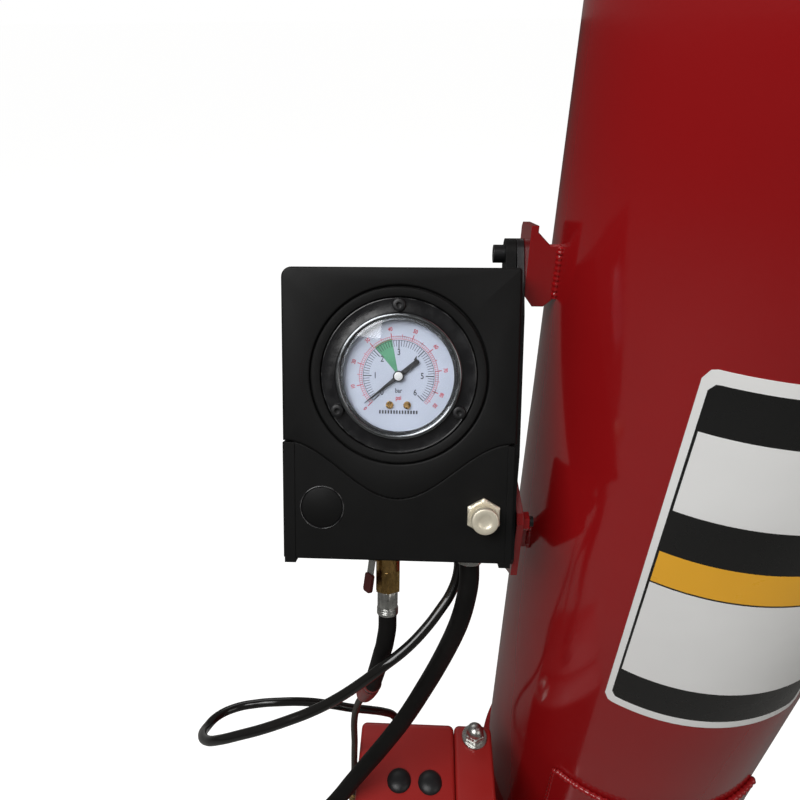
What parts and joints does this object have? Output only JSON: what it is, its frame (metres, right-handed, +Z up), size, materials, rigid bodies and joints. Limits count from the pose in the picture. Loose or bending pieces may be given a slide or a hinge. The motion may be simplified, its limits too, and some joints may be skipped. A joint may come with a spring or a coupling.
{
  "type": "inflation station column with gauge box",
  "caption": "Upright round workshop column with a tyre-inflation box on its side: pressure gauge, bleed button, shut-off valve, air hoses and a sheet-steel housing at the foot.",
  "frame": {"origin": "centre of the column at floor level, which is the centre of the base bolt circle", "axes": "+Z up the column, -Y towards the user at the front of the gauge box, +X from the gauge box towards the column"},
  "size_m": [0.5819, 0.36, 0.888],
  "materials": {
    "red_paint": "gloss red paint",
    "housing_paint": "satin gloss red paint",
    "panel_print": "printed adhesive panel",
    "hard_rubber": "moulded rubber",
    "zinc": "zinc plated",
    "black_nylon": "moulded nylon",
    "black_shell": "fine moulded texture",
    "black_steel": "black oxide and satin paint",
    "black_gloss": "gloss black",
    "bezel": "polished",
    "lens": "clear",
    "dial_white": "printed white enamel",
    "needle_black": "black",
    "brass": "machined",
    "alloy": "machined",
    "nickel": "satin nickel",
    "ptfe": "smooth",
    "lever_red": "dipped vinyl",
    "hose_rubber": "extruded rubber",
    "tube_pu": "extruded polyurethane",
    "grip_red": "gloss moulded"
  },
  "bodies": {
    "station": {"column_tube": "red_paint", "column_cap": "red_paint", "base_plate": "red_paint", "foot_saddle": "red_paint", "upper_bracket": "red_paint", "lower_bracket": "red_paint", "mount_nuts": "red_paint", "side_housing": "housing_paint", "foot_box": "housing_paint", "front_panel": "panel_print", "hole_plugs": "hard_rubber", "cap_nut": "zinc", "foot_washer": "zinc", "tube_bulkhead": "zinc", "cover_screws": "zinc", "hose_nipple": "zinc", "supply_fitting": "zinc", "button_spring": "zinc", "gauge_case": "zinc", "hose_gland": "black_nylon", "tube_fitting": "black_nylon", "back_shell": "black_shell", "upper_cover": "black_shell", "lower_cover": "black_shell", "blank_plug": "black_shell", "side_plate": "black_steel", "mount_bolts": "black_steel", "flange_screws": "black_steel", "gauge_flange": "black_gloss", "bezel_ring": "bezel", "gauge_lens": "lens", "dial": "dial_white", "dial_screws": "brass", "movement_frame": "brass", "bourdon_tube": "brass", "gauge_link": "brass", "gauge_socket": "brass", "valve_body": "brass", "air_chuck": "brass", "manifold": "alloy", "button_body": "nickel", "valve_seats": "ptfe", "supply_hose": "hose_rubber", "tyre_hose": "hose_rubber", "whip_hose": "hose_rubber", "plastic_tube": "tube_pu", "inflator_grip": "grip_red"},
    "pointer": {"needle": "needle_black", "pinion": "brass"},
    "sector": {"sector_gear": "brass"},
    "button": {"bleed_button": "nickel", "button_seal": "hard_rubber"},
    "valve": {"valve_ball": "nickel", "valve_lever": "zinc", "lever_sleeve": "lever_red"}
  },
  "joints": [
    {"name": "needle_turn", "type": "hinge", "parent": "station", "child": "pointer", "pos_m": [-0.251, -0.06959, 0.64221], "axis": [0, 0.8973, -0.4415], "range_deg": [-6.1, 263.9]},
    {"name": "sector_turn", "type": "hinge", "parent": "station", "child": "sector", "pos_m": [-0.251, -0.06337, 0.65486], "axis": [0, 0.8973, -0.4415], "range_deg": [-47, 2]},
    {"name": "button_press", "type": "slide", "parent": "station", "child": "button", "axis": [0, 0.8973, -0.4415], "range_m": [0, 0.004], "stiffness_N_per_m": 800, "springref_m": -0.004, "deforming": ["button_spring"]},
    {"name": "lever_turn", "type": "hinge", "parent": "station", "child": "valve", "pos_m": [-0.259, -0.09918, 0.50509], "axis": [-0.8192, -0.5146, 0.2532], "range_deg": [0, 90]}
  ],
  "couplings": [
    {"joint": "sector_turn", "follows": "needle_turn", "ratio": -0.1765}
  ]
}
